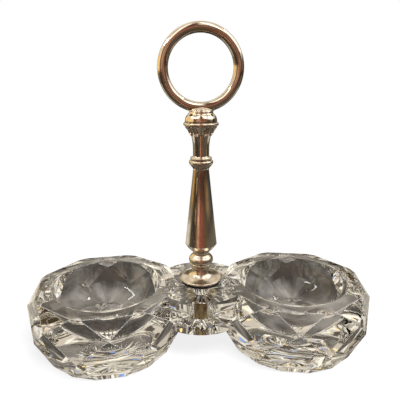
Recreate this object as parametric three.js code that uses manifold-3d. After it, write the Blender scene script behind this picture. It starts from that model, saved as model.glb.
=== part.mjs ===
// Double salt cellar: two cut glass bowls joined by a round centre disc, with a tall metal handle
// clamped through the disc. Millimetres, +Z up. The origin lies on the table, under the handle.
// X runs from bowl to bowl, and the photographed front faces -Y.
import * as THREE from 'three';
import { ConvexGeometry } from 'three/addons/geometries/ConvexGeometry.js';
import { mergeVertices } from 'three/addons/utils/BufferGeometryUtils.js';
import Module from 'manifold-3d';

const wasm = await Module();
wasm.setup();

// Glass bowls
const bowlGap = 14; // between the girdles of the two bowls, where the washer and the nut have their room
const bowlHeight = 28.3;
const bowlSides = 8; // lozenges, and kites below them, round each bowl
const bowlTurn = 8.6; // degrees that each bowl is turned, one way on the left and the other on the right
const girdleRadius = 34; // corner where a triangle, two lozenges and a kite meet
const girdleHeight = 21.1;
const rimInset = 0.95; // how far a lozenge leans in from the girdle up to the rim
const rimCornerTurn = 18.9; // degrees from a girdle corner to a corner of the rim
const footInset = 7; // how far a kite leans in from the girdle down to the foot
const footCornerTurn = 12; // degrees from a girdle corner to a corner of the foot
const mouthRadius = 23.1;
const hollowDepth = 20.5;
const hollowFloorRadius = 13; // how far out the floor of the hollow stays nearly flat
const hollowWallHeight = 12; // how far up the wall of the hollow starts to steepen

// Glass centre disc
const discRadius = 20;
const discThickness = 14.4;
const discHoleClearance = 1.1; // round the stud

// Metal rod, nut and washer
const studRadius = 2.8; // thick lower part of the rod, which goes through the glass
const rodRadius = 1.85; // thin upper part, inside the handle
const rodClearance = 0.25; // round the rod and its stud inside the other pieces
const rodEngagement = 7; // how far the rod reaches into the finial
const blindHoleSpare = 1; // empty end of the finial's hole
const rodTail = 1.5; // rod standing out below the nut
const washerRadius = 7;
const washerThickness = 1;
const nutAcrossFlats = 9;
const nutHeight = 3.2;

// Gasket and foot
const gasketRadius = 8.4;
const gasketThickness = 1.55;
const footRadius = 9.14;
const footEdge = 1;
const footHeight = 5.5;
const footNeckRadius = 3.7;

// Lower knob
const knobHeight = 6.6;
const knobRadius = 5.25;
const knobWidestHeight = 3.2; // above the knob's own base
const knobBeadRadius = 4.82;
const knobBeadHeight = 2; // top of the thin lower bead
const knobGrooveDepth = 0.35;
const knobTopRadius = 3.5;

// Panelled shaft
const shaftHeight = 36.7;
const shaftPanels = 8;
const shaftTurn = -4.4; // degrees from the front to the middle of a panel
const shaftBaseRadius = 3.5;
const shaftWidestRadius = 6.69; // to the middle of a panel, as is the one at the top
const shaftWidestHeight = 4.2; // above the shaft's own base
const shaftTopRadius = 3.23;
const scallopHeight = 1.1; // from the round lower end of a panel up to its two corners

// Collar
const collarHeight = 5.5;
const collarNeckRadius = 3.28;
const collarRadius = 4.95;
const collarWidestHeight = 3;
const collarBeadRadius = 4.42;
const collarBeadHeight = 1; // thickness of the small bead on top

// Finial
const finialHeight = 18.1;
const finialNeckRadius = 3.29;
const finialNeckHeight = 4.2;
const finialBeadRadius = 7.05;
const finialBeadHeight = 12.8; // middle of the bead, above the finial's own base
const finialBeadThickness = 1.1;
const finialShoulderRadius = 6.6;
const finialShoulderHeight = 3.4; // from the bead up to the lip
const finialLipRadius = 4.9;
const finialLipHeight = 0.9;

// Grip ring
const ringRadius = 14.8; // to the middle of the wire
const ringWireRadius = 2.07;
const ringTurn = 4.5; // degrees about the handle
const ringSeat = 0.9; // how deep the wire lies in the top of the finial
const solderGap = 0.3;

// Faceting of the round forms
const roundSides = 40;
const hollowSides = 48;
const curveSteps = 5;
const hollowSteps = 9;
const ringSides = 56;
const wireSides = 14;

// Heights and sizes that follow from the ones above
const bowlSpacing = 2 * girdleRadius + bowlGap; // between the centres of the two bowls
const discBase = bowlHeight - discThickness;
const washerBase = discBase - washerThickness;
const nutBase = washerBase - nutHeight;
const footBase = bowlHeight + gasketThickness;
const knobBase = footBase + footHeight;
const shaftBase = knobBase + knobHeight;
const collarBase = shaftBase + shaftHeight;
const finialBase = collarBase + collarHeight;
const finialTop = finialBase + finialHeight;
const rodBase = nutBase - rodTail;
const rodTop = finialBase + rodEngagement;
const ringHeight = finialTop - ringSeat + ringWireRadius + ringRadius;
const boreRadius = rodRadius + rodClearance;
const studBoreRadius = studRadius + rodClearance;

const radians = THREE.MathUtils.degToRad;

const glassLook = { color: 0xdcdad2, roughness: 0.05, metalness: 0, transparent: true, opacity: 0.5 };
const silverLook = { color: 0xb9a88c, roughness: 0.25, metalness: 1 };
const brassLook = { color: 0x9a7c3c, roughness: 0.35, metalness: 1 };
const gasketLook = { color: 0x2a2622, roughness: 0.8, metalness: 0 };

// A closed solid from a geometry: shared vertices are merged and triangles of no area left out.
function solidOf(geometry) {
  const bare = geometry.clone();
  bare.deleteAttribute('normal');
  bare.deleteAttribute('uv');
  const merged = mergeVertices(bare, 1e-4);
  const corners = merged.index.array;
  const kept = [];
  for (let i = 0; i < corners.length; i += 3) {
    const [a, b, c] = [corners[i], corners[i + 1], corners[i + 2]];
    if (a !== b && b !== c && c !== a) kept.push(a, b, c);
  }
  const vertProperties = new Float32Array(merged.attributes.position.array);
  return new wasm.Manifold(new wasm.Mesh({ numProp: 3, vertProperties, triVerts: new Uint32Array(kept) }));
}

function geometryOf(solid) {
  const mesh = solid.getMesh();
  const geometry = new THREE.BufferGeometry();
  geometry.setAttribute('position', new THREE.BufferAttribute(mesh.vertProperties, 3));
  geometry.setIndex(new THREE.BufferAttribute(mesh.triVerts, 1));
  geometry.computeVertexNormals();
  return geometry;
}

// A point at a radius, a height and an azimuth in degrees, counted from the front towards +X.
function polarPoint(radius, height, azimuth) {
  const angle = radians(azimuth);
  return new THREE.Vector3(radius * Math.sin(angle), -radius * Math.cos(angle), height);
}

// Turns a profile of (radius, height) round the Z axis.
function revolve(outline, sides, steps) {
  const geometry = new THREE.LatheGeometry(outline.getPoints(steps), sides);
  return geometry.rotateX(Math.PI / 2);
}

function upright(radius, low, high, sides) {
  const geometry = new THREE.CylinderGeometry(radius, radius, high - low, sides);
  geometry.rotateX(Math.PI / 2);
  return geometry.translate(0, 0, (low + high) / 2);
}

// A round turned piece with a bore through it. The draw function adds the outer edge,
// from (startRadius, 0) up to the top.
function turnedPiece(startRadius, draw, bore = boreRadius) {
  const outline = new THREE.Path();
  outline.moveTo(bore, 0);
  outline.lineTo(startRadius, 0);
  draw(outline);
  outline.lineTo(bore, outline.currentPoint.y);
  outline.lineTo(bore, 0);
  return revolve(outline, roundSides, curveSteps);
}

// The faceted outside of one bowl. Triangles stand on the rim, lozenges lie between them and kites reach
// from the girdle down to the foot. A lozenge and its two kites meet in its lower tip.
function bowlOutside(turn) {
  const sector = 360 / bowlSides;
  const halfCosine = Math.cos(radians(sector / 2));
  const lozengeAtGirdle = girdleRadius * halfCosine;
  const lozengeLean = rimInset / (bowlHeight - girdleHeight);
  const kiteLean = footInset / girdleHeight;
  const kiteAtFoot = girdleRadius - footInset;
  const tipHeight = ((lozengeAtGirdle + lozengeLean * girdleHeight) * halfCosine - kiteAtFoot)
    / (kiteLean + lozengeLean * halfCosine);
  const tipRadius = lozengeAtGirdle + lozengeLean * (girdleHeight - tipHeight);
  const rimCornerRadius = (lozengeAtGirdle - rimInset) / Math.cos(radians(sector / 2 - rimCornerTurn));
  const footCornerRadius = kiteAtFoot / Math.cos(radians(footCornerTurn));
  const points = [];
  for (let i = 0; i < bowlSides; i += 1) {
    const corner = turn + i * sector;
    points.push(polarPoint(girdleRadius, girdleHeight, corner));
    points.push(polarPoint(tipRadius, tipHeight, corner + sector / 2));
    for (const side of [-1, 1]) {
      points.push(polarPoint(rimCornerRadius, bowlHeight, corner + side * rimCornerTurn));
      points.push(polarPoint(footCornerRadius, 0, corner + side * footCornerTurn));
    }
  }
  return new ConvexGeometry(points);
}

function bowlHollow() {
  const floor = bowlHeight - hollowDepth;
  const outline = new THREE.Path();
  outline.moveTo(0, floor);
  outline.bezierCurveTo(hollowFloorRadius, floor, mouthRadius, floor + hollowWallHeight,
    mouthRadius, bowlHeight);
  outline.lineTo(mouthRadius, bowlHeight + 1);
  outline.lineTo(0, bowlHeight + 1);
  return revolve(outline, hollowSides, hollowSteps);
}

function crystalGeometry() {
  const holeRadius = studRadius + discHoleClearance;
  let glass = solidOf(upright(discRadius, discBase, bowlHeight, roundSides));
  for (const side of [-1, 1]) {
    glass = glass.add(solidOf(bowlOutside(-side * bowlTurn)).translate([side * bowlSpacing / 2, 0, 0]));
  }
  for (const side of [-1, 1]) {
    glass = glass.subtract(solidOf(bowlHollow()).translate([side * bowlSpacing / 2, 0, 0]));
  }
  glass = glass.subtract(solidOf(upright(holeRadius, discBase - 1, bowlHeight + 1, roundSides / 2)));
  return geometryOf(glass);
}

function washerGeometry() {
  return turnedPiece(washerRadius, (outline) => {
    outline.lineTo(washerRadius, washerThickness);
  }, studBoreRadius);
}

function nutGeometry() {
  const cornerRadius = nutAcrossFlats / 2 / Math.cos(Math.PI / 6);
  const outside = solidOf(upright(cornerRadius, 0, nutHeight, 6));
  return geometryOf(outside.subtract(solidOf(upright(studBoreRadius, -1, nutHeight + 1, roundSides / 2))));
}

// The rod's upper part is thinner, and the foot sits on the shoulder between the two.
function rodGeometry() {
  const outline = new THREE.Path();
  outline.moveTo(0, rodBase);
  outline.lineTo(studRadius, rodBase);
  outline.lineTo(studRadius, footBase);
  outline.lineTo(rodRadius, footBase);
  outline.lineTo(rodRadius, rodTop);
  outline.lineTo(0, rodTop);
  return revolve(outline, roundSides, curveSteps);
}

function gasketGeometry() {
  return turnedPiece(gasketRadius, (outline) => {
    outline.lineTo(gasketRadius, gasketThickness);
  }, studBoreRadius);
}

// A low trumpet on a thin rolled edge.
function footGeometry() {
  return turnedPiece(footRadius - footEdge / 4, (outline) => {
    outline.quadraticCurveTo(footRadius, 0, footRadius, footEdge / 3);
    outline.quadraticCurveTo(footRadius, footEdge, footRadius - footEdge / 2, footEdge);
    outline.bezierCurveTo(footRadius * 0.62, footEdge, footNeckRadius, footHeight * 0.5,
      footNeckRadius, footHeight);
  });
}

// A thin bead, a groove and a full round knob above it.
function knobGeometry() {
  const grooveRadius = knobBeadRadius - knobGrooveDepth;
  const above = knobHeight - knobWidestHeight;
  return turnedPiece(footNeckRadius, (outline) => {
    outline.bezierCurveTo(footNeckRadius, knobBeadHeight * 0.4, knobBeadRadius, knobBeadHeight * 0.5,
      knobBeadRadius, knobBeadHeight * 0.85);
    outline.quadraticCurveTo(knobBeadRadius, knobBeadHeight, grooveRadius, knobBeadHeight);
    outline.bezierCurveTo(knobRadius, knobBeadHeight, knobRadius, knobWidestHeight - above * 0.1,
      knobRadius, knobWidestHeight);
    outline.bezierCurveTo(knobRadius, knobWidestHeight + above * 0.6,
      knobTopRadius, knobHeight - above * 0.3, knobTopRadius, knobHeight);
  });
}

// The shaft swells fast from its base, then tapers up. Flat panels are cut into the taper, and run out
// in round ends at the swelling.
function shaftGeometry() {
  const taper = (shaftWidestRadius - shaftTopRadius) / (shaftHeight - shaftWidestHeight);
  const halfPanel = radians(180 / shaftPanels);
  const cornerStretch = 1 / Math.cos(halfPanel);
  const swellRadius = shaftWidestRadius * cornerStretch;
  const body = turnedPiece(shaftBaseRadius, (outline) => {
    outline.bezierCurveTo(shaftBaseRadius, shaftWidestHeight * 0.28,
      shaftWidestRadius * 0.68, shaftWidestHeight * 0.28, shaftWidestRadius * 0.86, shaftWidestHeight * 0.69);
    outline.lineTo(shaftWidestRadius, shaftWidestHeight);
    outline.quadraticCurveTo(swellRadius * 0.98, shaftWidestHeight + scallopHeight * 0.5,
      swellRadius, shaftWidestHeight + scallopHeight);
    outline.lineTo(swellRadius, shaftHeight);
  });
  const lowRadius = shaftTopRadius + taper * shaftHeight;
  const panels = new THREE.CylinderGeometry(shaftTopRadius * cornerStretch, lowRadius * cornerStretch,
    shaftHeight, shaftPanels);
  panels.rotateX(Math.PI / 2);
  panels.rotateZ(radians(shaftTurn) + halfPanel);
  panels.translate(0, 0, shaftHeight / 2);
  return geometryOf(solidOf(body).intersect(solidOf(panels)));
}

// A wide bead with a small one on it.
function collarGeometry() {
  const beadBase = collarHeight - collarBeadHeight * 1.4;
  return turnedPiece(collarNeckRadius, (outline) => {
    outline.bezierCurveTo(collarNeckRadius, collarWidestHeight * 0.4,
      collarRadius, collarWidestHeight * 0.55, collarRadius, collarWidestHeight);
    outline.quadraticCurveTo(collarRadius, beadBase, collarBeadRadius * 0.94, beadBase);
    outline.quadraticCurveTo(collarBeadRadius * 1.04, beadBase,
      collarBeadRadius, beadBase + collarBeadHeight * 0.5);
    outline.quadraticCurveTo(collarBeadRadius, beadBase + collarBeadHeight, collarNeckRadius, collarHeight);
  });
}

// A neck that flares to a sharp bead, a domed shoulder over it and a flat lip that holds the ring.
function finialGeometry() {
  const lipBase = finialHeight - finialLipHeight;
  const beadTop = finialBeadHeight + finialBeadThickness / 2;
  const beadLow = finialBeadHeight - finialBeadThickness / 2;
  const holeTop = rodEngagement + blindHoleSpare;
  const outline = new THREE.Path();
  outline.moveTo(0, holeTop);
  outline.lineTo(boreRadius, holeTop);
  outline.lineTo(boreRadius, 0);
  outline.lineTo(finialNeckRadius, 0);
  outline.lineTo(finialNeckRadius, finialNeckHeight);
  outline.bezierCurveTo(finialNeckRadius + 0.2, finialBeadHeight * 0.68,
    finialShoulderRadius * 0.66, beadLow - 0.9, finialShoulderRadius, beadLow);
  outline.quadraticCurveTo(finialBeadRadius, beadLow, finialBeadRadius, finialBeadHeight);
  outline.quadraticCurveTo(finialBeadRadius, beadTop, finialShoulderRadius, beadTop);
  outline.bezierCurveTo(finialShoulderRadius, beadTop + finialShoulderHeight * 0.5,
    finialLipRadius + 0.5, lipBase, finialLipRadius - 0.1, lipBase);
  outline.lineTo(finialLipRadius, lipBase + finialLipHeight * 0.3);
  outline.quadraticCurveTo(finialLipRadius, finialHeight, finialLipRadius * 0.8, finialHeight);
  outline.lineTo(0, finialHeight);
  const body = solidOf(revolve(outline, roundSides, curveSteps));
  const seat = solidOf(ringGeometry(ringWireRadius + solderGap)).translate([0, 0, ringHeight - finialBase]);
  return geometryOf(body.subtract(seat));
}

// The ring stands upright and faces the front, a few degrees off.
function ringGeometry(wireRadius) {
  const geometry = new THREE.TorusGeometry(ringRadius, wireRadius, wireSides, ringSides);
  geometry.rotateX(Math.PI / 2);
  return geometry.rotateZ(radians(ringTurn));
}

const cellar = new THREE.Group();

function addPiece(name, geometry, look, height = 0) {
  const piece = new THREE.Mesh(geometry, new THREE.MeshStandardMaterial(look));
  piece.name = name;
  piece.position.z = height;
  cellar.add(piece);
}

addPiece('crystal', crystalGeometry(), glassLook);
addPiece('gasket', gasketGeometry(), gasketLook, bowlHeight);
addPiece('foot', footGeometry(), silverLook, footBase);
addPiece('lower_knob', knobGeometry(), silverLook, knobBase);
addPiece('shaft', shaftGeometry(), silverLook, shaftBase);
addPiece('collar', collarGeometry(), silverLook, collarBase);
addPiece('finial', finialGeometry(), silverLook, finialBase);
addPiece('grip_ring', ringGeometry(ringWireRadius), silverLook, ringHeight);
addPiece('rod', rodGeometry(), brassLook);
addPiece('under_washer', washerGeometry(), brassLook, washerBase);
addPiece('nut', nutGeometry(), brassLook, nutBase);

export default cellar;
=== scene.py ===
from math import cos, sin, pi, radians, exp

import bpy
import bmesh
from mathutils import Vector, Matrix


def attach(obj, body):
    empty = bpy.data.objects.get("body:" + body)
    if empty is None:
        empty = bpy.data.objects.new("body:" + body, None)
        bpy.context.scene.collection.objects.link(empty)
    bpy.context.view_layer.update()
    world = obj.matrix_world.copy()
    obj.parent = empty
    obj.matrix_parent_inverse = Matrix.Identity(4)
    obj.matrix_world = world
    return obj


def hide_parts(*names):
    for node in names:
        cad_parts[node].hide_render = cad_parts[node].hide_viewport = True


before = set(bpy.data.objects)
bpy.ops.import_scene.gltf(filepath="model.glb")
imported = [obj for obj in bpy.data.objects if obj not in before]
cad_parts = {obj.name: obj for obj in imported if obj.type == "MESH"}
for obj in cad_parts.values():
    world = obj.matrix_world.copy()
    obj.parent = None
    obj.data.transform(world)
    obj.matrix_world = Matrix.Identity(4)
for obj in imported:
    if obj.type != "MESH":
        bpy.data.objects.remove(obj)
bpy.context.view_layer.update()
mm = 0.001
print("frame loaded")


def link(name, data):
    thing = bpy.data.objects.new(name, data)
    bpy.context.scene.collection.objects.link(thing)
    return thing


def aim(thing, direction):
    thing.rotation_euler = Vector(direction).to_track_quat("-Z", "Y").to_euler()


# the camera, solved from the mouths, the ring and the facet corners
cameraSetup = {
    "place": (-8.77, -174.36, 116.26),  # mm
    "direction": (0.04813, 0.95976, -0.27666),
    "lens": 39.17, "sensor": 36,
    "shiftX": -0.0025, "shiftY": -0.0036,
    "near": 0.01, "far": 20,  # metres
}


def makeCamera(setup):
    data = bpy.data.cameras.new("camera")
    data.sensor_width = setup["sensor"]
    data.lens = setup["lens"]
    data.shift_x = setup["shiftX"]
    data.shift_y = setup["shiftY"]
    data.clip_start = setup["near"]
    data.clip_end = setup["far"]
    camera = link("camera", data)
    camera.location = Vector(setup["place"]) * mm
    aim(camera, setup["direction"])
    bpy.context.scene.camera = camera


makeCamera(cameraSetup)
print("camera set")

# helpers for meshes, all in mm
roundSides = 128
past = 1  # how far a cutter reaches past the surface that it cuts


def polar(radius, height, azimuth):
    a = radians(azimuth)
    return Vector((radius * sin(a), -radius * cos(a), height))


def objectFrom(name, bm, *materials):
    mesh = bpy.data.meshes.new(name)
    bm.normal_update()
    bm.to_mesh(mesh)
    bm.free()
    for material in materials:
        mesh.materials.append(material)
    return link(name, mesh)


class Outline:
    # points of a turned profile, (radius, height)
    def __init__(self, r, z):
        self.points = [(r, z)]

    def line(self, r, z, steps=1):
        r0, z0 = self.points[-1]
        for i in range(1, steps + 1):
            self.points.append((r0 + (r - r0) * i / steps, z0 + (z - z0) * i / steps))
        return self

    def curve(self, r1, z1, r2, z2, r3, z3, steps):
        r0, z0 = self.points[-1]
        for i in range(1, steps + 1):
            t = i / steps
            u = 1 - t
            k = (u * u * u, 3 * u * u * t, 3 * u * t * t, t * t * t)
            self.points.append((k[0] * r0 + k[1] * r1 + k[2] * r2 + k[3] * r3,
                                k[0] * z0 + k[1] * z1 + k[2] * z2 + k[3] * z3))
        return self


def skin(bm, low, high):
    # faces between two rings of points. Either ring may be a single point on the axis
    sides = max(len(low), len(high))
    if sides == 1:
        return
    for i in range(sides):
        j = (i + 1) % sides
        if len(low) == 1:
            bm.faces.new((low[0], high[j], high[i]))
        elif len(high) == 1:
            bm.faces.new((low[i], low[j], high[0]))
        else:
            bm.faces.new((low[i], low[j], high[j], high[i]))


def skinAll(bm, rings):
    for low, high in zip(rings, rings[1:]):
        skin(bm, low, high)


def revolve(outline, sides, relief=None):
    # the outline runs up the outside; points on the axis close it. relief(azimuth, z) adds to the radius
    bm = bmesh.new()
    points = outline.points
    closed = points[0] == points[-1]
    if closed:
        points = points[:-1]
    rings = []
    for r, z in points:
        if r < 1e-6:  # on the axis
            rings.append([bm.verts.new((0, 0, z))])
            continue
        ring = []
        for i in range(sides):
            a = 2 * pi * i / sides
            k = r + relief(a, z) if relief else r
            ring.append(bm.verts.new((k * sin(a), -k * cos(a), z)))
        rings.append(ring)
    skinAll(bm, rings + rings[:1] if closed else rings)
    return bm


def cylinder(radius, low, high):
    return Outline(0, low).line(radius, low).line(radius, high).line(0, high)


def raiseBy(piece, height, turn=0):
    piece.data.transform(Matrix.Translation((0, 0, height)) @ Matrix.Rotation(radians(turn), 4, "Z"))
    return piece


def turned(name, outline, height, sides=roundSides, relief=None):
    return raiseBy(objectFrom(name, revolve(outline, sides, relief)), height)


def applyModifiers(piece):
    graph = bpy.context.evaluated_depsgraph_get()
    mesh = bpy.data.meshes.new_from_object(piece.evaluated_get(graph))
    piece.modifiers.clear()
    old = piece.data
    piece.data = mesh
    bpy.data.meshes.remove(old)


def boolean(piece, other, operation, place=(0, 0, 0)):
    other.location = place
    modifier = piece.modifiers.new("cut", "BOOLEAN")
    modifier.object = other
    modifier.operation = operation
    modifier.solver = "EXACT"
    applyModifiers(piece)
    bpy.data.objects.remove(other)


def finishPiece(piece, material, nodes, sharp=25):
    # from mm to metres. Without a material the piece keeps its own
    piece.data.transform(Matrix.Scale(mm, 4))
    piece.data.polygons.foreach_set("use_smooth", [True] * len(piece.data.polygons))
    piece.data.set_sharp_from_angle(angle=radians(sharp))
    if material:
        piece.data.materials.clear()
        piece.data.materials.append(material)
    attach(piece, "root")
    if nodes:
        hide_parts(*nodes)


# helpers for materials
white = (1, 1, 1, 1)
black = (0, 0, 0, 1)


def principled(name):
    material = bpy.data.materials.new(name)
    material.use_nodes = True
    return material, material.node_tree, material.node_tree.nodes["Principled BSDF"]


def plug(tree, socket, value):
    # numbers and colours are set, and the output of a node is linked
    if isinstance(value, (int, float, tuple)):
        socket.default_value = value
    else:
        tree.links.new(value, socket)


def calc(tree, operation, a, b):
    node = tree.nodes.new("ShaderNodeMath")
    node.operation = operation
    plug(tree, node.inputs[0], a)
    plug(tree, node.inputs[1], b)
    return node.outputs[0]


def ramp(tree, value, span, first=0.0, last=1.0):
    # goes softly from first to last while the value crosses the span
    node = tree.nodes.new("ShaderNodeMapRange")
    node.interpolation_type = "SMOOTHSTEP"
    tree.links.new(value, node.inputs["Value"])
    node.inputs["From Min"].default_value = span[0]
    node.inputs["From Max"].default_value = span[1]
    node.inputs["To Min"].default_value = first
    node.inputs["To Max"].default_value = last
    return node.outputs["Result"]


def noise(tree, vector, scale, detail=4, rough=0.55, distort=0.0):
    node = tree.nodes.new("ShaderNodeTexNoise")
    tree.links.new(vector, node.inputs["Vector"])
    node.inputs["Scale"].default_value = scale
    node.inputs["Detail"].default_value = detail
    node.inputs["Roughness"].default_value = rough
    node.inputs["Distortion"].default_value = distort
    return node.outputs["Fac"]


def mixColour(tree, share, a, b):
    node = tree.nodes.new("ShaderNodeMix")
    node.data_type = "RGBA"
    tree.links.new(share, node.inputs[0])
    plug(tree, node.inputs[6], a)
    plug(tree, node.inputs[7], b)
    return node.outputs[2]


def mixShader(tree, share, first, second):
    node = tree.nodes.new("ShaderNodeMixShader")
    for socket, source in zip(node.inputs, (share, first, second)):
        tree.links.new(source, socket)
    return node.outputs[0]


def objectPoint(tree, stretch=(1, 1, 1)):
    coords = tree.nodes.new("ShaderNodeTexCoord")
    mapping = tree.nodes.new("ShaderNodeMapping")
    mapping.inputs["Scale"].default_value = stretch
    tree.links.new(coords.outputs["Object"], mapping.inputs["Vector"])
    return mapping.outputs[0]


def bump(tree, shader, height, strength):
    node = tree.nodes.new("ShaderNodeBump")
    node.inputs["Strength"].default_value = strength
    node.inputs["Distance"].default_value = 0.1 * mm
    tree.links.new(height, node.inputs["Height"])
    tree.links.new(node.outputs[0], shader.inputs["Normal"])


# lead crystal, hand polished: faint ripples and dulled arrises
glassFinish = {
    "ior": 1.53, "absorbColour": (0.74, 0.68, 0.58, 1), "absorbDensity": 2.5,
    "rippleScale": 110, "rippleDepth": 0.25, "wearScale": 700, "wearSpan": (0.5, 0.8),
    "polished": {"rough": (0.0, 0.03), "clear": 1},
    "arris": {"rough": (0.12, 0.4), "clear": 0.86},
}


def glassMaterial(name, finish, surface):
    material, tree, shader = principled(name)
    shader.inputs["Base Color"].default_value = white
    shader.inputs["IOR"].default_value = finish["ior"]
    shader.inputs["Transmission Weight"].default_value = surface["clear"]
    wear = noise(tree, objectPoint(tree), finish["wearScale"])
    rough = ramp(tree, wear, finish["wearSpan"], *surface["rough"])
    tree.links.new(rough, shader.inputs["Roughness"])
    ripples = noise(tree, objectPoint(tree), finish["rippleScale"], detail=2)
    bump(tree, shader, ripples, finish["rippleDepth"])
    absorb = tree.nodes.new("ShaderNodeVolumeAbsorption")
    absorb.inputs["Color"].default_value = finish["absorbColour"]
    absorb.inputs["Density"].default_value = finish["absorbDensity"]
    tree.links.new(absorb.outputs[0], tree.nodes["Material Output"].inputs["Volume"])
    return material


# aged silver: warm, dull in the hollows, rubbed bright on the edges, with fine turning marks and painted
# shade on faces that look down
silverFinish = {
    "clean": (0.86, 0.79, 0.68, 1), "tarnish": (0.25, 0.18, 0.12, 1), "worn": (0.95, 0.90, 0.80, 1),
    "patchScale": 130, "patchSpan": (0.45, 0.75), "patchShare": 0.3,
    "hollowSpan": (0.38, 0.49), "edgeSpan": (0.56, 0.68), "edgeShare": 0.8,  # by pointiness
    "underSpan": (-0.6, -0.12),  # painted shade, by the height part of the normal: faces that look down
    # lowest and highest roughness
    "rough": (0.09, 0.2), "satin": (0.16, 0.3), "rubbed": (0.11, 0.22),
    "roughSpan": (0.3, 0.7), "roughByPatch": 0.7, "roughByMark": 0.3,
    "markScale": 2200,
    # how the fine marks are stretched, their depth, and the painted shade on faces that look down
    "turned": {"stretch": (0.15, 0.15, 3), "depth": 0.014, "under": 0.75},
    "filed": {"stretch": (2, 2, 0.05), "depth": 0.05, "under": 0},
}


def silverMaterial(name, finish, rough, fine):
    material, tree, shader = principled(name)
    shader.inputs["Metallic"].default_value = 1
    geometry = tree.nodes.new("ShaderNodeNewGeometry")
    facing = tree.nodes.new("ShaderNodeSeparateXYZ")
    tree.links.new(geometry.outputs["Normal"], facing.inputs[0])
    patches = noise(tree, objectPoint(tree), finish["patchScale"], detail=6, rough=0.6, distort=0.4)
    marks = noise(tree, objectPoint(tree, fine["stretch"]), finish["markScale"], detail=2)

    # dull is tarnish in patches and in hollows, and painted shade on faces that look down
    hollows = ramp(tree, geometry.outputs["Pointiness"], finish["hollowSpan"], 1, 0)
    edges = ramp(tree, geometry.outputs["Pointiness"], finish["edgeSpan"], 0, finish["edgeShare"])
    under = ramp(tree, facing.outputs["Z"], finish["underSpan"], fine["under"], 0)
    dull = calc(tree, "MULTIPLY", ramp(tree, patches, finish["patchSpan"]), finish["patchShare"])
    dull = calc(tree, "MAXIMUM", dull, hollows)
    dull = calc(tree, "MAXIMUM", dull, under)
    colour = mixColour(tree, dull, finish["clean"], finish["tarnish"])
    colour = mixColour(tree, edges, colour, finish["worn"])
    tree.links.new(colour, shader.inputs["Base Color"])

    byPatch = calc(tree, "MULTIPLY", patches, finish["roughByPatch"])
    byMark = calc(tree, "MULTIPLY", marks, finish["roughByMark"])
    wear = calc(tree, "ADD", byPatch, byMark)
    tree.links.new(ramp(tree, wear, finish["roughSpan"], *rough), shader.inputs["Roughness"])
    bump(tree, shader, marks, fine["depth"])
    return material


brassFinish = {
    "clean": (0.52, 0.37, 0.16, 1), "tarnish": (0.19, 0.115, 0.045, 1),
    "bright": (0.84, 0.76, 0.56, 1), "brightTarnish": (0.55, 0.47, 0.33, 1),  # rubbed, as under the glass
    "patchScale": 260, "patchSpan": (0.4, 0.7), "rough": (0.32, 0.55), "roughSpan": (0.3, 0.7),
    "grain": 1800, "depth": 0.15,
}


def brassMaterial(name, finish, clean, tarnish):
    material, tree, shader = principled(name)
    shader.inputs["Metallic"].default_value = 1
    patches = noise(tree, objectPoint(tree), finish["patchScale"], detail=5, rough=0.6, distort=0.3)
    dull = ramp(tree, patches, finish["patchSpan"])
    tree.links.new(mixColour(tree, dull, finish[clean], finish[tarnish]), shader.inputs["Base Color"])
    rough = ramp(tree, patches, finish["roughSpan"], *finish["rough"])
    tree.links.new(rough, shader.inputs["Roughness"])
    bump(tree, shader, noise(tree, objectPoint(tree), finish["grain"], detail=3), finish["depth"])
    return material


# near black: the gasket's own colour, which also stands in for the shade under the foot's rim
gasketFinish = {
    "dark": (0.012, 0.010, 0.009, 1), "dusty": (0.06, 0.052, 0.045, 1),
    "dustScale": 220, "dustSpan": (0.45, 0.8), "rough": 0.75, "grain": 1400, "depth": 0.35,
}


def gasketMaterial(name, finish):
    material, tree, shader = principled(name)
    shader.inputs["Roughness"].default_value = finish["rough"]
    dust = ramp(tree, noise(tree, objectPoint(tree), finish["dustScale"]), finish["dustSpan"])
    tree.links.new(mixColour(tree, dust, finish["dark"], finish["dusty"]), shader.inputs["Base Color"])
    bump(tree, shader, noise(tree, objectPoint(tree), finish["grain"], detail=5), finish["depth"])
    return material


glass = glassMaterial("cutCrystal", glassFinish, glassFinish["polished"])
arrisGlass = glassMaterial("dulledArris", glassFinish, glassFinish["arris"])
silver = silverMaterial("agedSilver", silverFinish, silverFinish["rough"], silverFinish["turned"])
filedSilver = silverMaterial("filedSilver", silverFinish, silverFinish["rough"], silverFinish["filed"])
rubbedSilver = silverMaterial("rubbedSilver", silverFinish, silverFinish["rubbed"], silverFinish["turned"])
satinSilver = silverMaterial("satinSilver", silverFinish, silverFinish["satin"], silverFinish["turned"])
brass = brassMaterial("oldBrass", brassFinish, "clean", "tarnish")
brightBrass = brassMaterial("brightBrass", brassFinish, "bright", "brightTarnish")
gasketAndShade = gasketMaterial("darkGasket", gasketFinish)
print("materials mixed")

# crystal: two bowls and the disc between them. Turns are in degrees
crystalCut = {
    "spacing": 82, "height": 28.3, "sides": 8, "turn": 8.6,
    "girdleRadius": 34, "girdleHeight": 21.1,
    "rimInset": 0.95, "rimCornerTurn": 18.9, "footInset": 7, "footCornerTurn": 12,
    "mouthRadius": 23.1, "hollowDepth": 20.5, "hollowFloor": 13, "hollowWall": 12, "mouthRound": 0.5,
    "discRadius": 20, "discThickness": 14.4, "holeRadius": 3.9, "holeSides": 48,
    "arris": 0.2, "arrisSteps": 2, "arrisAngle": 8, "facetAngle": 1,
    "starRays": 24, "starRadius": 10, "starNotch": 3, "starDepth": 1.2,
    "discRays": 20, "discRayLength": 18.8, "discRayNotch": 9, "discRayDepth": 2.4,
}
discBase = crystalCut["height"] - crystalCut["discThickness"]


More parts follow.
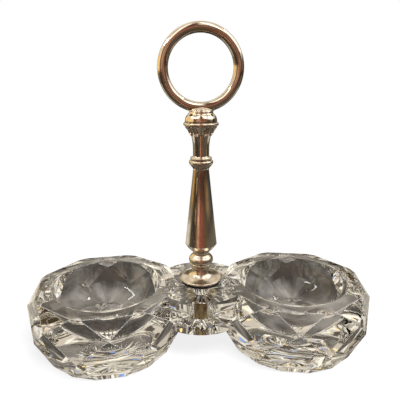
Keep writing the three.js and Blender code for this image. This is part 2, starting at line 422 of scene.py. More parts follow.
def bowlHull(cut, turn):
    # the lozenges' lower tips lie where the leans of lozenge and kite meet, so every facet is flat
    half = 180 / cut["sides"]
    halfCosine = cos(radians(half))
    atGirdle = cut["girdleRadius"] * halfCosine
    atFoot = cut["girdleRadius"] - cut["footInset"]
    lozengeLean = cut["rimInset"] / (cut["height"] - cut["girdleHeight"])
    kiteLean = cut["footInset"] / cut["girdleHeight"]
    apart = (atGirdle + lozengeLean * cut["girdleHeight"]) * halfCosine - atFoot
    tipHeight = apart / (kiteLean + lozengeLean * halfCosine)
    tipRadius = atGirdle + lozengeLean * (cut["girdleHeight"] - tipHeight)
    rimRadius = (atGirdle - cut["rimInset"]) / cos(radians(half - cut["rimCornerTurn"]))
    footRadius = atFoot / cos(radians(cut["footCornerTurn"]))
    bm = bmesh.new()
    for i in range(cut["sides"]):
        corner = turn + 2 * half * i
        bm.verts.new(polar(cut["girdleRadius"], cut["girdleHeight"], corner))
        bm.verts.new(polar(tipRadius, tipHeight, corner + half))
        for side in (-1, 1):
            bm.verts.new(polar(rimRadius, cut["height"], corner + side * cut["rimCornerTurn"]))
            bm.verts.new(polar(footRadius, 0, corner + side * cut["footCornerTurn"]))
    bmesh.ops.convex_hull(bm, input=bm.verts)
    # one face for all the triangles in a facet
    bmesh.ops.dissolve_limit(bm, angle_limit=radians(cut["facetAngle"]), verts=bm.verts, edges=bm.edges)
    return bm


def bowlWithArrises(cut, turn):
    bowl = objectFrom("bowl", bowlHull(cut, turn), glass, arrisGlass)
    arris = bowl.modifiers.new("arris", "BEVEL")
    arris.material = 1  # arrisGlass
    arris.width = cut["arris"]
    arris.segments = cut["arrisSteps"]
    arris.limit_method = "ANGLE"
    arris.angle_limit = radians(cut["arrisAngle"])
    applyModifiers(bowl)
    return bowl


def hollow(cut):
    r = cut["mouthRadius"]
    top = cut["height"]
    floor = top - cut["hollowDepth"]
    lip = cut["mouthRound"]
    out = Outline(0, floor)
    out.curve(cut["hollowFloor"], floor, r, floor + cut["hollowWall"], r, top - lip, 40)
    out.curve(r, top - lip / 2, r + lip / 2, top, r + lip, top, 4)
    out.line(r + lip, top + past).line(0, top + past)
    return revolve(out, roundSides)


def starCutter(rays, radius, notch, depth):
    # a low cone folded into rays, on a plug that reaches below the glass
    bm = bmesh.new()
    top = [bm.verts.new((0, 0, depth))]
    ring = []
    for i in range(2 * rays):
        r = radius if i % 2 == 0 else notch
        ring.append(bm.verts.new(polar(r, 0, i * 180 / rays)))
    low = [bm.verts.new((v.co.x, v.co.y, -past)) for v in ring]
    bottom = [bm.verts.new((0, 0, -past))]
    skinAll(bm, [bottom, low, ring, top])
    return bm


def makeCrystal(cut):
    disc = revolve(cylinder(cut["discRadius"], discBase, cut["height"]), roundSides)
    body = objectFrom("crystal_glass", disc, glass, arrisGlass)
    middles = {side: (side * cut["spacing"] / 2, 0, 0) for side in (-1, 1)}
    for side, middle in middles.items():
        boolean(body, bowlWithArrises(cut, -side * cut["turn"]), "UNION", middle)
    for middle in middles.values():
        star = starCutter(cut["starRays"], cut["starRadius"], cut["starNotch"], cut["starDepth"])
        boolean(body, objectFrom("hollow", hollow(cut)), "DIFFERENCE", middle)
        boolean(body, objectFrom("star", star), "DIFFERENCE", middle)
    fan = starCutter(cut["discRays"], cut["discRayLength"], cut["discRayNotch"], cut["discRayDepth"])
    boolean(body, objectFrom("fan", fan), "DIFFERENCE", (0, 0, discBase))
    hole = cylinder(cut["holeRadius"], discBase - past, cut["height"] + past)
    boolean(body, objectFrom("hole", revolve(hole, cut["holeSides"])), "DIFFERENCE")
    return body


crystal = makeCrystal(crystalCut)
finishPiece(crystal, None, ["crystal"])
print("crystal cut")

# heights of the stacked pieces, in mm from the table
stack = {"gasket": 1.55, "foot": 5.5, "knob": 6.6, "shaft": 36.7, "collar": 5.5, "finial": 18.1}
gasketBase = crystalCut["height"]
footBase = gasketBase + stack["gasket"]
knobBase = footBase + stack["foot"]
shaftBase = knobBase + stack["knob"]
collarBase = shaftBase + stack["shaft"]
finialBase = collarBase + stack["collar"]
finialTop = finialBase + stack["finial"]
boreRadius = 2.1  # round the rod
studBore = 3.05  # round its thick lower part
airGap = 0.03  # keeps the metal off the glass, so that the glass still mirrors there

# gasket between the glass and the foot; its near-black colour also paints the shade in the gap under the
# foot's rim
gasketShape = {"radius": 8.4, "round": 0.4, "roundSteps": 5}


def flatRing(shape, low, high):
    r = shape["radius"]
    e = shape["round"]
    steps = shape["roundSteps"]
    out = Outline(studBore, low).line(r - e, low)
    out.curve(r - e / 2, low, r, e / 2, r, e, steps).line(r, high - e)
    out.curve(r, high - e / 2, r - e / 2, high, r - e, high, steps)
    return out.line(studBore, high).line(studBore, low)


gasket = turned("foot_gasket", flatRing(gasketShape, airGap, stack["gasket"]), gasketBase)
finishPiece(gasket, gasketAndShade, ["gasket"])

# foot: a low trumpet on a rolled edge
footShape = {"radius": 9.14, "edge": 1, "neck": 3.7}


def makeFoot(shape, height):
    r = shape["radius"]
    e = shape["edge"]
    neck = shape["neck"]
    out = Outline(boreRadius, 0).line(r - 0.5, 0)
    out.curve(r - 0.2, 0, r, 0.15, r, e * 0.45, 6)
    out.curve(r, e * 0.8, r - 0.2, e * 0.95, r - 0.45, e, 6)
    out.line(r - 0.6, e - 0.12)  # step above the rolled edge
    out.curve(r * 0.62, e + 0.35, neck + 0.3, height * 0.45, neck, height, 28)
    out.line(boreRadius, height).line(boreRadius, 0)
    return turned("trumpet_foot", out, footBase)


finishPiece(makeFoot(footShape, stack["foot"]), satinSilver, ["foot"])

# lower knob: thin bead, groove, full round
knobShape = {"radius": 5.25, "widest": 3.3, "bead": 4.85, "beadTop": 2.15, "groove": 0.65,
             "neck": 3.7, "top": 3.5}


def makeKnob(shape, height):
    r = shape["radius"]
    widest = shape["widest"]
    bead = shape["bead"]
    beadTop = shape["beadTop"]
    out = Outline(boreRadius, 0).line(shape["neck"], 0)
    out.curve(shape["neck"], 0.7, bead, 0.9, bead, 1.6, 14)  # flare up to the bead
    out.curve(bead, 1.85, bead - 0.1, beadTop, bead - shape["groove"], beadTop + 0.05, 5)
    out.curve(r - 0.15, beadTop + 0.2, r, widest - 0.5, r, widest, 8)  # out of the groove
    out.curve(r, widest + 1.9, shape["top"], height - 1.1, shape["top"], height, 18)
    out.line(boreRadius, height).line(boreRadius, 0)
    return turned("round_knob", out, knobBase)


finishPiece(makeKnob(knobShape, stack["knob"]), satinSilver, ["lower_knob"])

# shaft: swells fast, then eight hand-cut panels taper up. File marks stand along their corners, deepest
# on one of them, and leave out the ends
shaftShape = {
    "panels": 8, "turn": -4.4, "base": 3.5, "widest": 6.69, "widestHeight": 4.2, "top": 3.23,
    "scallop": 1.1, "bulge": 0.17, "levels": 260, "across": 22,
    "markPitch": 0.75, "markDepth": 0.11, "markReach": 0.2,
    "markWander": (0.3, 0.9), "markScatter": (12.9, 7.2),  # make the rows uneven
    "markCorner": 0, "otherCorners": 0.3, "plainBelow": 7, "plainAbove": 3,
}


def swelling(shape, height):
    # the round body that the panels are cut from
    widest = shape["widest"]
    start = shape["widestHeight"]
    corner = widest / cos(pi / shape["panels"])
    out = Outline(shape["base"], 0)
    out.curve(shape["base"], 1.18, widest * 0.68, 1.18, widest * 0.86, 2.9, 16)
    out.line(widest, start, 6)
    out.curve(widest + 0.16, 4.5, corner - 0.04, 4.9, corner, start + shape["scallop"], 16)
    return out.line(corner, height, shape["levels"] - len(out.points))


def fileMark(shape, height, z, step, t):
    # depth at one point: step counts round the shaft, and t is -1 or 1 at the corners
    if not shape["plainBelow"] < z < height - shape["plainAbove"]:
        return 0
    cornerNumber = (step + shape["across"] // 2) // shape["across"] % shape["panels"]
    nearCorner = max(0, 1 - (1 - abs(t)) / shape["markReach"])
    sway, often = shape["markWander"]
    phase = z / shape["markPitch"] + sway * sin(z * often + cornerNumber)
    byMark, byCorner = shape["markScatter"]
    deep = 0.5 + 0.5 * sin(byMark * int(phase) + byCorner * cornerNumber)  # each mark has its own depth
    deep *= 1 if cornerNumber == shape["markCorner"] else shape["otherCorners"]
    return shape["markDepth"] * deep * nearCorner * max(0, sin(2 * pi * phase)) ** 2


def boreRing(bm, ring):
    # the same points, drawn in to the bore
    bore = []
    for v in ring:
        k = boreRadius / v.co.xy.length
        bore.append(bm.verts.new((k * v.co.x, k * v.co.y, v.co.z)))
    return bore


def makeShaft(shape, height):
    halfPanel = pi / shape["panels"]
    taper = (shape["widest"] - shape["top"]) / (height - shape["widestHeight"])
    across = shape["across"]
    bm = bmesh.new()
    rings = []
    for body, z in swelling(shape, height).points:
        flat = shape["top"] + taper * (height - z)
        bulge = shape["bulge"] * flat / shape["widest"]
        ring = []
        for i in range(shape["panels"] * across):
            t = (i % across) / across * 2 - 1  # -1 and 1 are the corners of a panel
            a = radians(shape["turn"]) + 2 * halfPanel * (i // across) + halfPanel * t
            r = flat / cos(halfPanel * t) - bulge * t * t - fileMark(shape, height, z, i, t)
            r = min(r, body)
            ring.append(bm.verts.new((r * sin(a), -r * cos(a), z)))
        rings.append(ring)
    skinAll(bm, rings)
    skin(bm, boreRing(bm, rings[0]), rings[0])
    skin(bm, rings[-1], boreRing(bm, rings[-1]))
    return raiseBy(objectFrom("panelled_shaft", bm), shaftBase)


finishPiece(makeShaft(shaftShape, stack["shaft"]), filedSilver, ["shaft"], sharp=14)

# collar: wide bead with a small one on it
collarShape = {"neck": 3.28, "radius": 4.95, "widest": 3.1, "bead": 4.42, "groove": 0.55}


def makeCollar(shape, height):
    neck = shape["neck"]
    r = shape["radius"]
    bead = shape["bead"]
    out = Outline(boreRadius, 0).line(neck, 0)
    out.curve(neck + 0.1, 0.8, r - 0.9, 1.0, r - 0.45, 1.95, 14)  # flare up to the wide bead
    out.curve(r - 0.1, 2.2, r, 2.5, r, shape["widest"] - 0.25, 8)
    out.curve(r, 3.5, r - 0.3, 3.8, bead - shape["groove"], 3.92, 8)  # into the groove
    out.curve(bead + 0.1, 4.0, bead + 0.05, 4.75, bead - 0.15, 4.85, 8)  # small bead
    out.curve(bead - 0.6, 4.95, neck + 0.1, 5.1, neck, height, 8)
    out.line(boreRadius, height).line(boreRadius, 0)
    return turned("double_collar", out, collarBase)


finishPiece(makeCollar(collarShape, stack["collar"]), satinSilver, ["collar"])

# ring, upright and a few degrees off. The gaps are between the wire and what is cut out for it
ringShape = {"radius": 14.8, "wire": 2.07, "turn": 4.5, "seat": 0.9, "seatGap": 0.04, "solderGap": 0.01,
             "around": 160, "section": 40}
ringHeight = finialTop - ringShape["seat"] + ringShape["wire"] + ringShape["radius"]


def torus(name, shape, gap=0):
    wire = shape["wire"] + gap
    bm = bmesh.new()
    rings = []
    for i in range(shape["around"]):
        a = 2 * pi * i / shape["around"]
        ring = []
        for j in range(shape["section"]):
            b = 2 * pi * j / shape["section"]
            r = shape["radius"] + wire * cos(b)
            ring.append(bm.verts.new((r * cos(a), wire * sin(b), r * sin(a))))
        rings.append(ring)
    skinAll(bm, rings + rings[:1])
    bmesh.ops.recalc_face_normals(bm, faces=bm.faces)
    return raiseBy(objectFrom(name, bm), ringHeight, shape["turn"])


# finial: neck, flare with hanging tongues, sharp bead, domed shoulder, lip
finialShape = {
    "neck": 3.29, "bead": 7.05, "beadHeight": 12.8, "shoulder": 6.45, "lip": 4.8, "hole": 8, "sides": 288,
    "tongues": 8, "tongueTurn": -2, "tongueTop": 12.1, "tongueHeight": 3.9, "tongueWidth": 3.3,
    "tongueRise": 0.6, "tongueRim": 0.36, "tongueFade": 0.5, "tongueMargin": 0.6, "flareRadius": 5.4,
    "pit": 0.3, "pitWidth": 0.6, "pitHeight": 0.8, "pitLift": 0.2,
}


def tongueRelief(shape, a, z):
    # each tongue is a U with a raised rim and a pit in it, and fades out under the bead
    top = shape["tongueTop"]
    low = top - shape["tongueHeight"]
    if not low - shape["tongueMargin"] < z < top:
        return 0
    sector = 2 * pi / shape["tongues"]
    half = shape["tongueWidth"] / 2
    inSector = (a - radians(shape["tongueTurn"])) / sector % 1 - 0.5
    across = inSector * sector * shape["flareRadius"]  # mm along the flare
    bend = low + half
    away = abs(across) if z > bend else (across ** 2 + (z - bend) ** 2) ** 0.5
    rim = exp(-((away - half + shape["tongueRim"]) / shape["tongueRim"]) ** 2)
    pitAcross = across / shape["pitWidth"]
    pitUp = (z - bend - shape["pitLift"]) / shape["pitHeight"]
    pit = exp(-(pitAcross ** 2 + pitUp ** 2) ** 2)
    return (shape["tongueRise"] * rim - shape["pit"] * pit) * min(1, (top - z) / shape["tongueFade"])


def makeFinial(shape, height):
    neck = shape["neck"]
    bead = shape["bead"]
    shoulder = shape["shoulder"]
    lip = shape["lip"]
    out = Outline(0, shape["hole"]).line(boreRadius, shape["hole"]).line(boreRadius, 0)
    out.line(neck, 0).line(neck, 2.3)
    out.curve(neck + 0.02, 5.6, 3.75, 8.2, 4.7, 10.0, 50)  # flare
    out.curve(5.3, 11.0, 5.9, 11.6, shoulder + 0.1, 12.2, 18)
    out.curve(6.95, 12.25, bead, 12.5, bead, shape["beadHeight"], 6)  # sharp bead
    out.curve(bead, 13.1, 6.95, 13.3, shoulder + 0.1, 13.35, 6)
    out.line(shoulder - 0.05, 13.5)
    out.curve(shoulder, 14.9, 6.1, 15.9, 5.25, 16.6, 16)  # domed shoulder
    out.curve(5.05, 16.75, lip, 17.0, lip, 17.4, 8)
    out.curve(lip, 17.8, 4.65, height, 4.3, height, 6).line(0, height)
    finial = turned("ring_finial", out, finialBase, shape["sides"], lambda a, z: tongueRelief(shape, a, z))
    boolean(finial, torus("seat", ringShape, ringShape["seatGap"]), "DIFFERENCE")
    return finial


finishPiece(makeFinial(finialShape, stack["finial"]), rubbedSilver, ["finial"], sharp=40)
finishPiece(torus("finger_ring", ringShape), silver, ["grip_ring"])

# solder that holds the ring on the finial
solderShape = {"length": 4.95, "width": 4.2, "rise": 1.5, "sink": 0.4,
               "unevenLong": 0.025, "unevenWide": 0.02}


def makeSolder(shape):
    bm = bmesh.new()
    bmesh.ops.create_icosphere(bm, subdivisions=5, radius=1)
    for v in bm.verts:
        x, y, z = v.co
        # uneven, as solder sets
        k = 1 + shape["unevenLong"] * sin(5 * x + 2) + shape["unevenWide"] * sin(6 * y + 3 * x)
        v.co = (x * shape["length"] * k, y * shape["width"] * k, max(z, -shape["sink"]) * shape["rise"] * k)
    solder = raiseBy(objectFrom("ring_solder", bm), finialTop, ringShape["turn"])
    boolean(solder, torus("wire", ringShape, ringShape["solderGap"]), "DIFFERENCE")
    return solder


finishPiece(makeSolder(solderShape), satinSilver, [], sharp=40)
print("handle turned")

# rod with its thread, washer and nut under the glass
rodShape = {"stud": 2.8, "radius": 1.85, "pitch": 0.9, "depth": 0.32, "tail": 1.5, "reach": 7,
            "threadTop": 16, "bevel": 0.4, "sides": 48, "stepsInTurn": 10}
washerShape = {"radius": 7, "thickness": 1, "round": 0.25, "roundSteps": 4, "sides": 96}
nutShape = {"acrossFlats": 9, "height": 3.2, "chamfer": 0.5, "chamferInset": 0.1, "chamferSlope": 1.75,
            "coneSides": 96, "boreSides": 64}
washerBase = discBase - washerShape["thickness"]
nutBase = washerBase - nutShape["height"]


def threadCut(shape, z, fromEnd, turnShare):
    # depth of the thread, or of the bevel at the rod's lower end
    turn = (z / shape["pitch"] - turnShare) % 1
    thread = shape["depth"] * (1 - abs(2 * turn - 1)) * min(1, max(0, shape["threadTop"] - z))
    return max(thread, shape["bevel"] - fromEnd)


def makeRod(shape):
    low = nutBase - shape["tail"]
    sides = shape["sides"]
    steps = round((shape["threadTop"] - low) / shape["pitch"] * shape["stepsInTurn"])
    out = Outline(shape["stud"], low).line(shape["stud"], shape["threadTop"], steps)
    out.line(shape["stud"], footBase).line(shape["radius"], footBase)
    out.line(shape["radius"], finialBase + shape["reach"])
    bm = bmesh.new()
    rings = []
    for radius, z in out.points:
        ring = []
        for i in range(sides):
            cut = threadCut(shape, z, z - low, i / sides)
            ring.append(bm.verts.new(polar(radius - cut, z, 360 * i / sides)))
        rings.append(ring)
    skinAll(bm, rings)
    bm.faces.new(rings[0][::-1])
    bm.faces.new(rings[-1])
    return objectFrom("threaded_rod", bm)


def makeNut(shape):
    flat = shape["acrossFlats"] / 2
    corner = flat / cos(pi / 6)
    height = shape["height"]
    bm = bmesh.new()
    low = [bm.verts.new(polar(corner, 0, 60 * i + 30)) for i in range(6)]
    high = [bm.verts.new(polar(corner, height, 60 * i + 30)) for i in range(6)]
    bm.faces.new(low[::-1])
    bm.faces.new(high)
    skin(bm, low, high)
    nut = objectFrom("hex_nut", bm)
    c = shape["chamfer"]
    narrow = flat - shape["chamferInset"]
    wide = narrow + c * shape["chamferSlope"]
    cone = Outline(0, 0).line(narrow, 0).line(wide, c)
    cone.line(wide, height - c).line(narrow, height).line(0, height)
    boolean(nut, objectFrom("cone", revolve(cone, shape["coneSides"])), "INTERSECT")
    bore = revolve(cylinder(studBore, -past, height + past), shape["boreSides"])
    boolean(nut, objectFrom("bore", bore), "DIFFERENCE")
    return raiseBy(nut, nutBase)


finishPiece(makeRod(rodShape), brass, ["rod"], sharp=50)
washerOutline = flatRing(washerShape, 0, washerShape["thickness"] - airGap)
washer = turned("flat_washer", washerOutline, washerBase, washerShape["sides"])
finishPiece(washer, brightBrass, ["under_washer"])
finishPiece(makeNut(nutShape), brass, ["nut"])
print("rod, washer and nut made")

# studio, in metres: white floor and world, with a dark table and a room that only metal and glass see
studioSetup = {
    "floorSize": 6, "floorDrop": 0.0006, "floorColour": (0.9, 0.9, 0.9, 1), "floorRough": 0.9,
    "whiteShare": 0.84,  # near the object; the rest of the floor's look is real light and shadow
    "shadowReach": (0.13, 0.32),  # metres from the handle, over which the floor turns all white
    "roomSize": 0.9, "shellSize": 0.945, "tableDrop": 0.0004, "cardDrop": 0.0002,
}


def lookShare(tree):
    # 1 for camera, glossy and transmission rays
    path = tree.nodes.new("ShaderNodeLightPath")
    share = calc(tree, "MAXIMUM", path.outputs["Is Camera Ray"], path.outputs["Is Glossy Ray"])
    return calc(tree, "MAXIMUM", share, path.outputs["Is Transmission Ray"])


def fromMiddle(tree, stretch=(1, 1, 1)):
    node = tree.nodes.new("ShaderNodeVectorMath")
    node.operation = "LENGTH"
    tree.links.new(objectPoint(tree, stretch), node.inputs[0])
    return node.outputs["Value"]


def lightNode(tree, kind, colour, strength):
    node = tree.nodes.new(kind)
    node.inputs["Color"].default_value = colour
    node.inputs["Strength"].default_value = strength
    return node.outputs[0]


def makeFloor(setup):
    bm = bmesh.new()
    bmesh.ops.create_grid(bm, x_segments=1, y_segments=1, size=setup["floorSize"] / 2)
    material, tree, shader = principled("floor")
    shader.inputs["Base Color"].default_value = setup["floorColour"]
    shader.inputs["Roughness"].default_value = setup["floorRough"]
    shader.inputs["Specular IOR Level"].default_value = 0
    whiter = ramp(tree, fromMiddle(tree), setup["shadowReach"], setup["whiteShare"], 1)
    share = calc(tree, "MULTIPLY", lookShare(tree), whiter)
    glow = lightNode(tree, "ShaderNodeEmission", white, 1)
    mixed = mixShader(tree, share, shader.outputs[0], glow)
    tree.links.new(mixed, tree.nodes["Material Output"].inputs["Surface"])
    floor = objectFrom("floor", bm, material)
    floor.location.z = -setup["floorDrop"]


def emitter(name, strength=1.0):
    # gives off its colour and no light on the table
    material, tree, shader = principled(name)
    shader.inputs["Base Color"].default_value = black
    shader.inputs["Roughness"].default_value = 1
    shader.inputs["Specular IOR Level"].default_value = 0
    shader.inputs["Emission Strength"].default_value = strength
    return material, tree, shader


glowSpan = (0.35, 0.65)  # of the noise that mixes dark and light


def glowing(name, dark, light, scale, strength=1.0):
    material, tree, shader = emitter(name, strength)
    patches = ramp(tree, noise(tree, objectPoint(tree), scale, detail=3), glowSpan)
    tree.links.new(mixColour(tree, patches, dark, light), shader.inputs["Emission Color"])
    return material


def asCard(card, material, metal):
    # seen in metal or through glass, and nowhere else
    card.data.materials.append(material)
    card.visible_camera = False
    card.visible_shadow = False
    card.visible_diffuse = False
    card.visible_glossy = metal
    card.visible_transmission = not metal


def dome(name, radius):
    # the upper half of a ball
    bm = bmesh.new()
    bmesh.ops.create_uvsphere(bm, u_segments=64, v_segments=32, radius=radius)
    bmesh.ops.delete(bm, geom=[v for v in bm.verts if v.co.z < -0.001], context="VERTS")
    return objectFrom(name, bm)


def tableDisc(name, radius, drop):
    bm = bmesh.new()
    bmesh.ops.create_circle(bm, cap_ends=True, segments=96, radius=radius)
    disc = objectFrom(name, bm)
    disc.location.z = -drop
    return disc


# the room in the metal. Each card spans some degrees round the handle: turn 0 is the front, 90 the right,
# and past 360 it goes on round. rise is its height above the table in degrees, and slope adds to it along
# the card. Where table is set, the card also lies on the table from there, to the wall or to its end
metalRoom = {
    # back and left
    "back": {"turn": (105, 215), "rise": (0, 20), "table": 0.3, "colour": (0.12, 0.10, 0.07)},
    "olive": {"turn": (205, 258), "rise": (0, 5), "table": 0.3, "colour": (0.27, 0.25, 0.16)},
    "goldLow": {"turn": (257, 266), "rise": (0, 5), "table": 0.42, "colour": (0.72, 0.40, 0.12)},
    "goldHigh": {"layer": 1, "turn": (212, 300), "rise": (4, 24), "colour": (1.0, 0.72, 0.34),
                 "strength": 1.25},
    "goldPale": {"layer": 1, "turn": (225, 300), "rise": (24, 58), "colour": (0.95, 0.82, 0.60),
                 "strength": 1.1},
    "darkLeft": {"turn": (266, 322), "rise": (0, 5), "table": 0.25, "colour": (0.05, 0.038, 0.028)},
    "umberLeft": {"turn": (300, 322), "rise": (4, 40), "colour": (0.17, 0.11, 0.075)},
    "creamLeft": {"layer": 1, "turn": (308, 336), "rise": (42, 82), "colour": (1.0, 0.94, 0.83),
                  "strength": 2.4},
    # lamps, that draw the bright streaks in the hollows
    "tube": {"layer": 2, "turn": (270, 311), "rise": (40, 42), "slope": 6, "colour": (1.0, 0.98, 0.94),
             "strength": 16},
    "tubeEnd": {"layer": 2, "turn": (267.5, 270.5), "rise": (40, 52), "colour": (1.0, 0.98, 0.94),
                "strength": 16},
    "lowTube": {"layer": 2, "turn": (446, 459), "rise": (54, 57), "colour": (1.0, 0.98, 0.94),
                "strength": 16},
    # light that the glass throws on the table beside the bowls
    "spillLeft": {"turn": (222, 264), "table": 0.085, "end": 0.3, "colour": (0.95, 0.87, 0.72)},
    "spillRight": {"turn": (96, 138), "table": 0.085, "end": 0.3, "colour": (0.90, 0.84, 0.72)},
    # front and right
    "blush": {"layer": 1, "turn": (332, 392), "rise": (9, 14), "colour": (0.62, 0.34, 0.24)},
    "tan": {"turn": (322, 352), "rise": (0, 40), "colour": (0.60, 0.32, 0.20)},
    "inkLow": {"turn": (338, 345.5), "rise": (0, 1), "table": 0.1, "colour": (0.05, 0.03, 0.02)},
    "peachLow": {"turn": (345.5, 350), "rise": (0, 1), "table": 0.1, "colour": (0.90, 0.50, 0.30),
                 "strength": 1.5},
    "tanLow": {"turn": (350, 354), "rise": (0, 1), "table": 0.1, "colour": (0.13, 0.09, 0.065)},
    "redLow": {"turn": (354, 358.5), "rise": (0, 1), "table": 0.1, "colour": (0.50, 0.07, 0.07),
               "strength": 1.3},
    "neckDark": {"layer": 1, "turn": (322, 470), "rise": (0, 6), "colour": (0.04, 0.024, 0.018)},
    "red": {"turn": (352, 368), "rise": (0, 40), "colour": (0.36, 0.11, 0.085)},
    "brown": {"turn": (368, 404), "rise": (0, 40), "colour": (0.26, 0.12, 0.08)},
    "brownLow": {"turn": (358.5, 384), "rise": (0, 1), "table": 0.1, "colour": (0.17, 0.11, 0.06)},
    "head": {"turn": (347, 372), "rise": (39, 84), "colour": (0.12, 0.05, 0.035)},
    "creamRight": {"layer": 1, "turn": (386, 414), "rise": (42, 82), "colour": (1.0, 0.95, 0.88),
                   "strength": 3.0},
    "umberRight": {"turn": (404, 432), "rise": (0, 30), "table": 0.25, "colour": (0.12, 0.09, 0.065)},
    "amber": {"turn": (432, 442), "rise": (0, 18), "table": 0.42, "colour": (0.40, 0.25, 0.10)},
    "blue": {"turn": (442, 452), "rise": (0, 18), "table": 0.42, "colour": (0.10, 0.125, 0.135)},
    "edge": {"turn": (452, 466), "rise": (0, 24), "table": 0.3, "colour": (0.02, 0.017, 0.015)},
    "paleRight": {"layer": 1, "turn": (420, 470), "rise": (26, 52), "colour": (1.0, 0.95, 0.88),
                  "strength": 2.2},
}
metalShell = {"dark": (0.48, 0.41, 0.33, 1), "light": (0.98, 0.88, 0.72, 1), "scale": 2.6}
metalTable = {"dark": (0.045, 0.036, 0.027, 1), "light": (0.15, 0.13, 0.10, 1), "scale": 7}
cardShape = {"columns": 32, "rows": 8, "tableRows": 6, "layerGap": 0.03, "patchScale": 6, "patchShade": 0.6}


def between(span, i, count):
    return span[0] + (span[1] - span[0]) * i / count


def makeCard(name, card, shape, setup):
    columns = shape["columns"]
    # lights hang before the walls
    distance = setup["roomSize"] * (1 - shape["layerGap"] * card.get("layer", 0))
    flat = []
    if "table" in card:
        span = (card["table"], card.get("end", distance))
        count = shape["tableRows"] + (1 if "end" in card else 0)  # else the wall's foot is the last row
        flat = [(between(span, j, shape["tableRows"]), 0) for j in range(count)]
    bm = bmesh.new()
    grid = []
    for i in range(columns + 1):
        turn = between(card["turn"], i, columns)
        rows = list(flat)
        for j in range(shape["rows"] + 1 if "rise" in card else 0):
            rise = between(card["rise"], j, shape["rows"]) + card.get("slope", 0) * i / columns
            rows.append((distance * cos(radians(rise)), distance * sin(radians(rise))))
        grid.append([bm.verts.new(polar(radius, height, turn)) for radius, height in rows])
    for left, right in zip(grid, grid[1:]):
        for j in range(len(left) - 1):
            bm.faces.new((left[j], right[j], right[j + 1], left[j + 1]))
    light = card["colour"] + (1,)
    dark = tuple(shape["patchShade"] * c for c in card["colour"]) + (1,)
    piece = objectFrom(name, bm)
    piece.location.z = -setup["cardDrop"]
    asCard(piece, glowing(name, dark, light, shape["patchScale"], card.get("strength", 1)), True)


def makeMetalRoom(setup):
    shell = glowing("shell", metalShell["dark"], metalShell["light"], metalShell["scale"])
    asCard(dome("metal_shell", setup["shellSize"]), shell, True)
    top = glowing("metalTable", metalTable["dark"], metalTable["light"], metalTable["scale"])
    asCard(tableDisc("metal_table", setup["shellSize"], setup["tableDrop"]), top, True)
    for name, card in metalRoom.items():
        makeCard(name, card, cardShape, setup)


# the room through the glass: a dark table with painted caustic light, lighter further out, and patchy walls
# with a few coloured glints
glassRoom = {
    "near": (0.064, 0.057, 0.048, 1), "nearCausticLight": (0.33, 0.305, 0.27, 1), "far": (0.50, 0.45, 0.37, 1),
    "fade": (0.16, 0.42), "stretch": (1.5, 1, 1), "grain": 24, "grainAndCausticSpan": (0.42, 0.7),
    "beige": (0.72, 0.65, 0.53, 1), "cream": (1.28, 1.22, 1.06, 1), "dark": (0.12, 0.10, 0.08, 1),
    "patchScale": 3.2, "patchSpan": (0.46, 0.58), "darkScale": 4.1, "darkSpan": (0.50, 0.56),
    "glintScale": 13, "glintSpan": (0.18, 0.3),
    # a cell of the glints is gold or blue by its own number, from 0 to 1
    "gold": (1.6, 1.1, 0.35, 1), "goldAbove": 0.70,
    "blue": (0.28, 0.5, 1.1, 1), "blueBelow": 0.30,
}


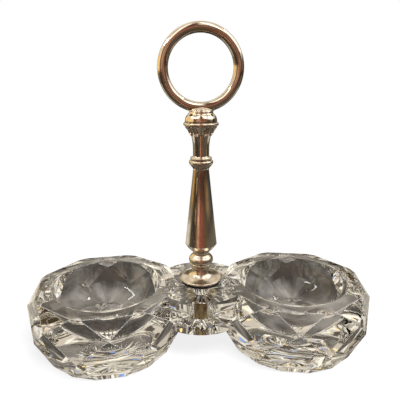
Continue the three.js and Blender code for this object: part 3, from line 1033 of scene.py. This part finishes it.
def wallColour(tree, room):
    point = objectPoint(tree)
    light = ramp(tree, noise(tree, point, room["patchScale"], detail=3), room["patchSpan"])
    darkPatches = noise(tree, point, room["darkScale"], rough=0.6, distort=0.5)
    dark = ramp(tree, darkPatches, room["darkSpan"])
    colour = mixColour(tree, light, room["beige"], room["cream"])
    colour = mixColour(tree, dark, colour, room["dark"])
    cells = tree.nodes.new("ShaderNodeTexVoronoi")
    cells.inputs["Scale"].default_value = room["glintScale"]
    tree.links.new(point, cells.inputs["Vector"])
    hue = tree.nodes.new("ShaderNodeSeparateColor")
    tree.links.new(cells.outputs["Color"], hue.inputs[0])
    glint = ramp(tree, cells.outputs["Distance"], room["glintSpan"], 1, 0)
    isGold = calc(tree, "GREATER_THAN", hue.outputs[0], room["goldAbove"])
    isBlue = calc(tree, "LESS_THAN", hue.outputs[0], room["blueBelow"])
    colour = mixColour(tree, calc(tree, "MULTIPLY", glint, isGold), colour, room["gold"])
    return mixColour(tree, calc(tree, "MULTIPLY", glint, isBlue), colour, room["blue"])


def makeGlassRoom(room, setup):
    walls, tree, shader = emitter("glassWalls")
    tree.links.new(wallColour(tree, room), shader.inputs["Emission Color"])
    asCard(dome("glass_walls", setup["roomSize"]), walls, False)
    top, tree, shader = emitter("glassTable")
    # table grain and painted caustic light: lighter patches on the dark table near the bowls
    grain = ramp(tree, noise(tree, objectPoint(tree), room["grain"], detail=3), room["grainAndCausticSpan"])
    colour = mixColour(tree, grain, room["near"], room["nearCausticLight"])
    away = ramp(tree, fromMiddle(tree, room["stretch"]), room["fade"])
    tree.links.new(mixColour(tree, away, colour, room["far"]), shader.inputs["Emission Color"])
    asCard(tableDisc("glass_table", setup["roomSize"], setup["tableDrop"]), top, False)


worldLight = {"colour": (0.9, 0.9, 0.92, 1), "strength": 0.3}


def makeWorld(light):
    world = bpy.data.worlds.new("studio")
    bpy.context.scene.world = world
    world.use_nodes = True
    tree = world.node_tree
    tree.nodes.clear()
    soft = lightNode(tree, "ShaderNodeBackground", light["colour"], light["strength"])
    plain = lightNode(tree, "ShaderNodeBackground", white, 1)
    out = tree.nodes.new("ShaderNodeOutputWorld")
    tree.links.new(mixShader(tree, lookShare(tree), soft, plain), out.inputs[0])


# one soft lamp above the front right, that metal and glass don't mirror
keyLamp = {"place": (0.3, -0.55, 0.95), "target": (0, 0, 0.04), "size": 0.5, "power": 22}


def makeLamp(name, setup):
    data = bpy.data.lights.new(name, "AREA")
    data.size = setup["size"]
    data.energy = setup["power"]
    lamp = link(name, data)
    lamp.location = setup["place"]
    aim(lamp, Vector(setup["target"]) - Vector(setup["place"]))
    lamp.visible_glossy = False
    lamp.visible_transmission = False


makeFloor(studioSetup)
makeGlassRoom(glassRoom, studioSetup)
makeWorld(worldLight)
makeMetalRoom(studioSetup)
makeLamp("keyLamp", keyLamp)
scene = bpy.context.scene
scene.view_settings.view_transform = "Standard"
scene.cycles.max_bounces = 24
scene.cycles.transmission_bounces = 24
scene.cycles.glossy_bounces = 12
scene.cycles.caustics_refractive = False
scene.cycles.caustics_reflective = False
print("studio set")
